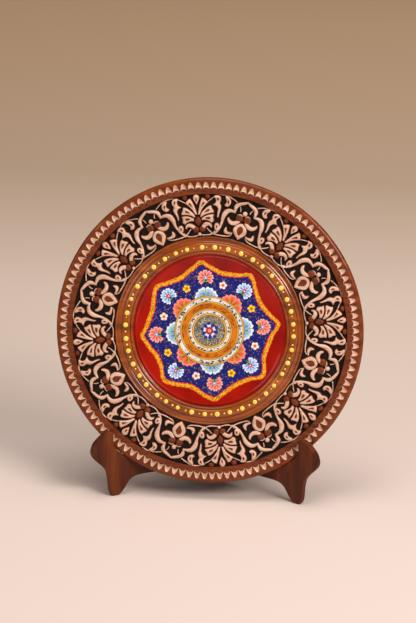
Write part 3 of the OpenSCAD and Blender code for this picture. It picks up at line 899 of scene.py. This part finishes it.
# The star's outer edge as the brush left it, clockwise from its top point.
STAR = [(-2.5, 69.6), (0.5, 69.0), (5, 65.6), (12, 61), (17, 57.8), (25, 55.6), (35, 53.6), (43, 53.4),
        (47, 51.6), (49.3, 46), (50, 40), (51.5, 32), (54, 24), (58, 17), (63, 10), (68, 4.6), (69.6, 1.8),
        (68, -3), (63, -9), (59, -17), (55, -25), (52, -33), (51.5, -42), (50, -48.4), (45.6, -51.6),
        (38, -52), (30, -54), (22, -57), (14, -61), (6, -66), (0, -69.7), (-5, -69), (-12, -65),
        (-20, -58.4), (-27, -54.5), (-36, -52.5), (-43, -50.5), (-49.6, -47.6), (-52.4, -42), (-52.5, -34),
        (-54.6, -26), (-57, -20), (-62, -13), (-65, -7), (-68.6, 0), (-66, 5), (-63, 10), (-60, 17),
        (-56, 25), (-54.4, 32), (-52.4, 40), (-50.6, 46), (-46.6, 49.8), (-40, 51), (-33, 53), (-25, 55.5),
        (-20, 58), (-16, 61.3), (-9, 65.4), (-5.4, 68.4)]
# Both sides of a point slope by about this much, so a radial step is that much longer than the width.
STAR_SLOPE = 1.12


def star(shrink, wobble, phase):
    """The star's edge moved inwards by shrink, with the small waves of a loaded brush."""
    out = []
    for x, y in spline(STAR, 9):
        a, r = math.atan2(x, y), math.hypot(x, y)
        r -= shrink * STAR_SLOPE
        r += wobble * (math.sin(89 * a + phase) + 0.7 * math.sin(61 * a + 2.1 * phase)
                       + 0.5 * math.sin(127 * a))
        out.append((r * math.sin(a), r * math.cos(a)))
    return out


def star_band():
    """The star's border: an orange line, a broad gold band with olive brush marks, and a red line."""
    shell = Shell()
    edges = [star(0, 0.2, 0.0), star(0.95, 0.25, 0.4), star(3.4, 0.25, 1.0), star(4.4, 0.28, 1.4)]
    for k, code in enumerate(("#f47a10", "#f2b928", "#ee3d12")):
        band(shell, edges[k], edges[k + 1], code, 2 + k)
    made = paint_mesh("star", shell)
    place("star_border", made, PLATE, "plate", ["star_outline"], "gold_band_paint", PAINT)
    marks = Shell()
    band(marks, edges[1], edges[2], GOLD_INK, 3)
    olive = grow(SCATTER, top_of(marks), density=0.45, length=1.6, width=0.36, thickness=0.12,
                 tint=colour("#6b5617"), seed=5, material=PAINT)
    place("star_brush_marks", olive, PLATE, "plate", [], "gold_band_paint")


def top_of(shell):
    """Only the faces of a coat that look to the front."""
    made = paint_mesh("top", shell)
    cut = bmesh.new()
    cut.from_mesh(made)
    bmesh.ops.delete(cut, geom=[f for f in cut.faces if f.normal.z < 0.9], context="FACES")
    cut.to_mesh(made)
    cut.free()
    return made


def star_field():
    """The blue field with its strewn gold dashes, and sparse gold twigs on the red round it."""
    shell = Shell()
    edge = star(4.2, 0.28, 1.4)
    hole = [(x * 33.0 / math.hypot(x, y), y * 33.0 / math.hypot(x, y)) for x, y in edge]
    band(shell, edge, hole, "#141c70", 2)
    place("star_field", paint_mesh("field", shell), PLATE, "plate", ["star_field"], "blue_paint", PAINT)
    inner = Shell()
    band(inner, star(5.2, 0.2, 1.4), [(x * 1.05, y * 1.05) for x, y in hole], "#141c70", 3)
    ground = top_of(inner)
    for name, seed, density, length, code in (("gold_dashes", 11, 0.075, 1.7, "#a87848"),
                                              ("pale_dashes", 12, 0.015, 1.1, "#c8a070"),
                                              ("blue_dashes", 13, 0.06, 1.6, "#3d4fb0")):
        made = grow(SCATTER, ground.copy(), density=density, length=length, width=0.4, thickness=0.1,
                    tint=colour(code), seed=seed, material=PAINT)
        place(name, made, PLATE, "plate", [], "blue_paint")
    outside = Shell()
    rim = [(x * (WALL_R - 0.5) / math.hypot(x, y), y * (WALL_R - 0.5) / math.hypot(x, y)) for x, y in edge]
    band(outside, rim, star(-0.3, 0.1, 0.0), "#8a1008", 0)
    twigs = grow(SCATTER, top_of(outside), density=0.09, length=1.8, width=0.3, thickness=0.08,
                 tint=colour("#d08a3c"), seed=21, material=PAINT)
    place("red_field_twigs", twigs, PLATE, "plate", [], "red_lacquer")


def petal(angle, near, far, width, notch=0.0):
    """A petal that points at angle (clockwise from up) from the flower's centre, with a notched end."""
    half = [(0.0, near), (width * 0.3, near + (far - near) * 0.35), (width * 0.5, near + (far - near) * 0.78),
            (width * 0.3, far), (0, far - notch)]
    return turned_points(spline(both_sides(half), 3), angle)


def flower(shell, y, angles, colours, near, far, width, centre, level=5):
    """A flower painted at height y: petals at the given angles, each with a lighter edge and a streak,
    and its heart if it has a centre colour."""
    edge_code, body_code, streak_code = colours
    for k, degrees in enumerate(angles):
        angle = math.radians(degrees)
        lift = level + 0.3 * (k % 2)
        for outline, code, rise in (
                (petal(angle, near, far, width, 0.6), edge_code, 0),
                (petal(angle, near, near + (far - near) * 0.78, width * 0.62), body_code, 1),
                (petal(angle, near, near + (far - near) * 0.5, width * 0.24), streak_code, 2)):
            dab(shell, moved(outline, 0, y), code, lift + rise)
    if centre:
        dab(shell, ellipse(0, y + 0.2, 1.9, 1.9, count=14), centre, level + 4)
        dab(shell, ellipse(0.2, y, 0.75, 0.75, count=8), WHITE_INK, level + 5)


CORAL = ("#f9b3a2", "#f27a68", "#dd4030")
PALE_BLUE = ("#e3effc", "#a3c6f4", "#4f7fdc")


def outer_flowers():
    """Full flowers in the star's points, coral and pale blue by turns, each with two leaves."""
    for name, hues, centre, start in (("coral_flowers", CORAL, "#7fa9e8", 0.0),
                                      ("blue_flowers", PALE_BLUE, "#ea3a26", SECTOR)):
        shell = Shell()
        for side in (-1, 1):
            dab(shell, ellipse(side * 1.8, 49.0, 1.7, 0.9, side * 0.5, 12), "#6cc01e", 5)
        flower(shell, 52.0, (-128, -86, -43, 0, 43, 86, 128), hues, 0.9, 8.0, 4.3, centre)
        made = ring_of(paint_mesh(name, shell), REPEATS // 2, PAINT, start=start + 0.025,
                       angle_spread=0.026, seed=31)
        place(name, made, PLATE, "plate", ["painted_flowers"] if start == 0 else [], "flower_paint")


def half_flowers():
    """Fans of four broad petals that rise from the gold ring, with green blades between them."""
    for name, hues, start in (("blue_fans", PALE_BLUE, 0.0),
                              ("coral_fans", ("#f79080", "#f4604a", "#df3a2a"), SECTOR)):
        shell = Shell()
        flower(shell, 31.8, (-69, -24, 24, 69), hues, 1.6, 11.4, 7.6, None)
        for angle in (-46, 0, 46):
            blade = stroke([(0, 3.0), (0.1, 6.0), (0, 9.4)], [1.0, 1.2, 0.7])
            dab(shell, moved(turned_points(blade, math.radians(angle)), 0, 31.8), "#84c01c", 9)
        made = ring_of(paint_mesh(name, shell), REPEATS // 2, PAINT, start=start + 0.012, angle_spread=0.02,
                       seed=35)
        place(name, made, PLATE, "plate", [], "flower_paint")


def small_flowers():
    """Five-petalled flowers in the gaps, yellow and white by turns."""
    for name, code, inner, centre, start in (("yellow_flowers", "#f7c512", "#fadc3c", "#e2601a", SECTOR * 1.5),
                                             ("white_flowers", "#fbe3d6", "#fdf2ea", "#e2602a", SECTOR / 2)):
        shell = Shell()
        for k in range(5):
            for r, hue, rise in ((1.6, code, 0), (0.8, inner, 1)):
                spot = turned_points([(0, 2.4)], TAU * k / 5)[0]
                dab(shell, ellipse(spot[0], 46.6 + spot[1], r, r, count=12), hue, 5 + rise)
        dab(shell, ellipse(0, 46.6, 1.5, 1.5, count=10), centre, 7)
        made = ring_of(paint_mesh(name, shell), REPEATS // 2, PAINT, start=start, angle_spread=0.02, seed=33)
        place(name, made, PLATE, "plate", [], "flower_paint")


def rosette_rings():
    """Flat rings of gold, white and orange round the centre, each with a thin dark line beside it."""
    rings = [(34.3, 33.9, "#8a5a20"), (33.9, 32.9, GOLD_INK), (32.9, 32.5, "#6d4a1e"),
             (32.5, 28.9, WHITE_INK), (28.9, 28.5, "#6d4a1e"), (28.5, 27.2, GOLD_INK),
             (27.2, 26.8, "#8a5a20"), (26.8, 22.2, "#e07c12"), (22.2, 21.8, "#8a5a20"),
             (21.8, 20.5, GOLD_INK), (20.5, 20.1, "#6d4a1e"), (20.1, 17.2, WHITE_INK),
             (17.2, 16.8, "#6d4a1e"), (16.8, 15.4, GOLD_INK), (15.4, 15.0, "#6d4a1e")]
    shell = Shell()
    for outer, inner, code in rings:
        band(shell, circle(outer), circle(inner), code, 10)
    place("rosette_rings", paint_mesh("rings", shell), PLATE, "plate", ["rosette_rings"], "rosette_paint",
          PAINT)


def ring_marks():
    """Brush marks on the rings: black dashes on the white, brown curls on the orange."""
    dash = Shell()
    dab(dash, ellipse(0, 0, 1.15, 0.5, count=8), BLACK_INK, 12)
    speck = Shell()
    dab(speck, ellipse(0, 0, 0.4, 0.4, count=6), BLACK_INK, 12)
    curl = Shell()
    dab(curl, stroke([(-1.9, -0.5), (-0.8, 0.25), (0.5, 0.1), (1.9, 0.6)], [0.15, 0.5, 0.5, 0.2], 3),
        "#8a3a06", 12)
    rows = [("outer_dashes_1", dash, 58, 31.5), ("outer_dashes_2", dash, 52, 29.9),
            ("outer_specks", speck, 44, 30.7), ("inner_dashes", dash, 38, 19.2),
            ("inner_specks", speck, 30, 18.1), ("orange_curls_1", curl, 38, 25.9),
            ("orange_curls_2", curl, 36, 24.7), ("orange_curls_3", curl, 34, 23.4)]
    for seed, (name, shell, count, radius) in enumerate(rows):
        made = ring_of(paint_mesh(name, shell), count, PAINT, radius=radius, size_spread=0.25,
                       angle_spread=0.03, spin=0.5 if shell is not curl else 0.35, seed=50 + seed)
        place(name, made, PLATE, "plate", [], "rosette_paint")


def rosette_centre():
    """The speckled middle with its small blue, white and red rosette."""
    shell = Shell()
    dab(shell, circle(15.1, 96), "#8b8272", 6)
    place("speckled_disc", paint_mesh("disc", shell), PLATE, "plate", ["rosette_centre"], "speckled_paint",
          PAINT)
    top = Shell()
    dab(top, circle(14.6, 64), "#8b8272", 7)
    ground = top_of(top)
    for name, code, density, seed in (("dark_specks", "#2b2722", 0.5, 41),
                                      ("cream_specks", "#e2d6bd", 0.42, 42)):
        made = grow(SCATTER, ground.copy(), density=density, length=1.2, width=0.42, thickness=0.12,
                    tint=colour(code), seed=seed, material=PAINT)
        place(name, made, PLATE, "plate", [], "speckled_paint")
    heart = Shell()
    for k in range(5):
        angle = TAU * k / 5 + TAU / 10
        dab(heart, petal(angle, 2.0, 9.0, 2.6), "#1f8a4c", 9)
    for k in range(10):
        angle = TAU * k / 10
        dab(heart, petal(angle, 3.0, 9.0 - 0.8 * (k % 2), 3.4, 0.4), "#2a2f9a", 10)
    for k in range(5):
        dab(heart, petal(TAU * k / 5, 1.5, 6.1, 3.6, 0.5), "#dfe9f6", 11)
    for k in range(5):
        spot = turned_points([(0, 2.3)], TAU * k / 5)[0]
        dab(heart, ellipse(spot[0], spot[1], 1.6, 1.6, count=12), "#d5211c", 12)
    dab(heart, ellipse(0, 0, 1.5, 1.5, count=12), "#f6c8bf", 13)
    dab(heart, ellipse(0, 0, 0.7, 0.7, count=8), "#b3241c", 14)
    place("rosette", paint_mesh("rosette", heart), PLATE, "plate", [], "speckled_paint", PAINT)


def dish():
    """The red lacquered dish that carries the painting, with its sloping wall."""
    profile = [(0, SEAT + 0.1), (DISH_R - 0.05, SEAT + 0.1), (DISH_R - 0.05, CREST - 2.7),
               (DISH_R - 0.4, CREST - 2.4), (DISH_R - 1.0, CREST - 2.5), (WALL_R + 2.4, FLOOR + 0.95),
               (WALL_R + 1.0, FLOOR + 0.3), (WALL_R, FLOOR), (WALL_R * 0.5, FLOOR), (0, FLOOR)]
    place("lacquered_dish", turned("dish", profile), PLATE, "plate", ["medallion_dish"], "red_lacquer", RED)


# ---------------------------------------------------------------- the stand

def stand_board(node_name, piece_name, material):
    """The board as the solid has it, with its edges eased by sanding."""
    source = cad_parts[node_name]
    made = source.data.copy()
    work = bmesh.new()
    work.from_mesh(made)
    bmesh.ops.remove_doubles(work, verts=work.verts, dist=1e-6)
    bmesh.ops.dissolve_limit(work, angle_limit=math.radians(1), verts=work.verts, edges=work.edges)
    sharp = [e for e in work.edges if len(e.link_faces) == 2 and e.calc_face_angle() > math.radians(50)]
    bmesh.ops.bevel(work, geom=sharp, offset=0.7 * MM, segments=3, profile=0.6, affect="EDGES",
                    clamp_overlap=True)
    bmesh.ops.recalc_face_normals(work, faces=work.faces)
    work.to_mesh(made)
    work.free()
    made.shade_smooth()
    made.set_sharp_from_angle(angle=math.radians(32))
    place(piece_name, made, Matrix.Identity(4), node_name, [node_name], "dark_stand_wood", material)


# ---------------------------------------------------------------- floor, light and camera

def studio():
    """A pale flat floor, open on every side and painted darker towards the back, a warm soft light from the
    right and a fill from the left.
    """
    reach = 12000
    shade_ramp_front, shade_ramp_back = -0.4, 2.3
    shell = Shell()
    corners = [(-reach, -reach, 0), (reach, -reach, 0), (reach, reach, 0), (-reach, reach, 0)]
    shell.take(corners, [(0, 1, 2, 3)], [0.0])
    made, tree, shader = new_material("matte paper floor", roughness=0.95, specular_ior_level=0.1)
    where = add(tree, "ShaderNodeTexCoord")
    parts = add(tree, "ShaderNodeSeparateXYZ", {0: where.outputs["Object"]})
    along = add(tree, "ShaderNodeMapRange", {"Value": parts.outputs["Y"], 1: shade_ramp_front, 2: shade_ramp_back})
    # Painted shade: the floor goes from pale rose-white in front to a darker warm tan far behind, a painted
    # fall-off of the light towards the back.
    tone = ramp(tree, along.outputs[0], [(0.1, "#e2d0c8"), (0.36, "#dcc8ba"), (0.52, "#c9ae97"),
                                         (0.8, "#e0ba97")])
    tree.links.new(tone.outputs["Color"], shader.inputs["Base Color"])
    mesh = mesh_from("floor", shell)
    mesh.transform(Matrix.Scale(MM, 4))
    mesh.materials.append(made)
    floor = bpy.data.objects.new("floor", mesh)
    bpy.context.scene.collection.objects.link(floor)

    world = bpy.data.worlds.new("studio")
    world.use_nodes = True
    world.node_tree.nodes["Background"].inputs["Color"].default_value = colour("#fff8f2")
    world.node_tree.nodes["Background"].inputs["Strength"].default_value = 0.1
    bpy.context.scene.world = world
    lights = [("key softbox", (2.0, -1.6, 1.9), (1.4, 1.1), 76, "#fffaf4"),
              ("top softbox", (0.1, -0.2, 2.6), (1.8, 1.4), 42, "#fffaf4"),
              ("left fill", (-2.2, -2.2, 1.3), (1.4, 1.4), 18, "#fff6ee")]
    plate_middle = Vector((0, 0, 0.15))
    for name, spot, size, watts, code in lights:
        lamp = bpy.data.lights.new(name, "AREA")
        lamp.shape = "RECTANGLE"
        lamp.size, lamp.size_y = size
        lamp.energy = watts
        lamp.color = colour(code)[:3]
        made = bpy.data.objects.new(name, lamp)
        made.location = spot
        made.rotation_mode = "QUATERNION"
        made.rotation_quaternion = (plate_middle - Vector(spot)).to_track_quat("-Z", "Y")
        bpy.context.scene.collection.objects.link(made)

    # Colours are shown as they are, without a film curve.
    bpy.context.scene.view_settings.view_transform = "Standard"


def camera():
    """Seen from 6.8 degrees to the right and 19.7 above, through a long lens."""
    turn, rise = math.radians(6.8), math.radians(19.7)
    distance, focal_length, long_side = 3.396, 3500, 623
    aim_left, aim_up = 0.00102, 0.01934
    back = Vector((math.sin(turn) * math.cos(rise), -math.cos(turn) * math.cos(rise), math.sin(rise)))
    across = Vector((math.cos(turn), math.sin(turn), 0))
    up = back.cross(across)
    face_centre = PLATE @ Vector((0, 0, FACE))
    lens = bpy.data.cameras.new("camera")
    lens.sensor_width = 36
    lens.lens = focal_length / long_side * lens.sensor_width
    lens.clip_start, lens.clip_end = 0.1, 50
    made = bpy.data.objects.new("camera", lens)
    # The plate's centre lies a little right of the frame's middle and 19 mm below it.
    made.location = face_centre - across * aim_left + up * aim_up + back * distance
    made.rotation_mode = "QUATERNION"
    made.rotation_quaternion = Matrix((across, up, back)).transposed().to_quaternion()
    bpy.context.scene.collection.objects.link(made)
    bpy.context.scene.camera = made


studio()
camera()
plate_blank()
rim_cuts()
border_ground()
palmettes()
lyres()
blossoms()
scrolls()
studs()
moulding()
gold_drops()
dish()
star_band()
star_field()
outer_flowers()
half_flowers()
small_flowers()
rosette_rings()
ring_marks()
rosette_centre()
stand_board("left_board", "left_stand_board", STAND_WOOD)
stand_board("right_board", "right_stand_board", STAND_WOOD)
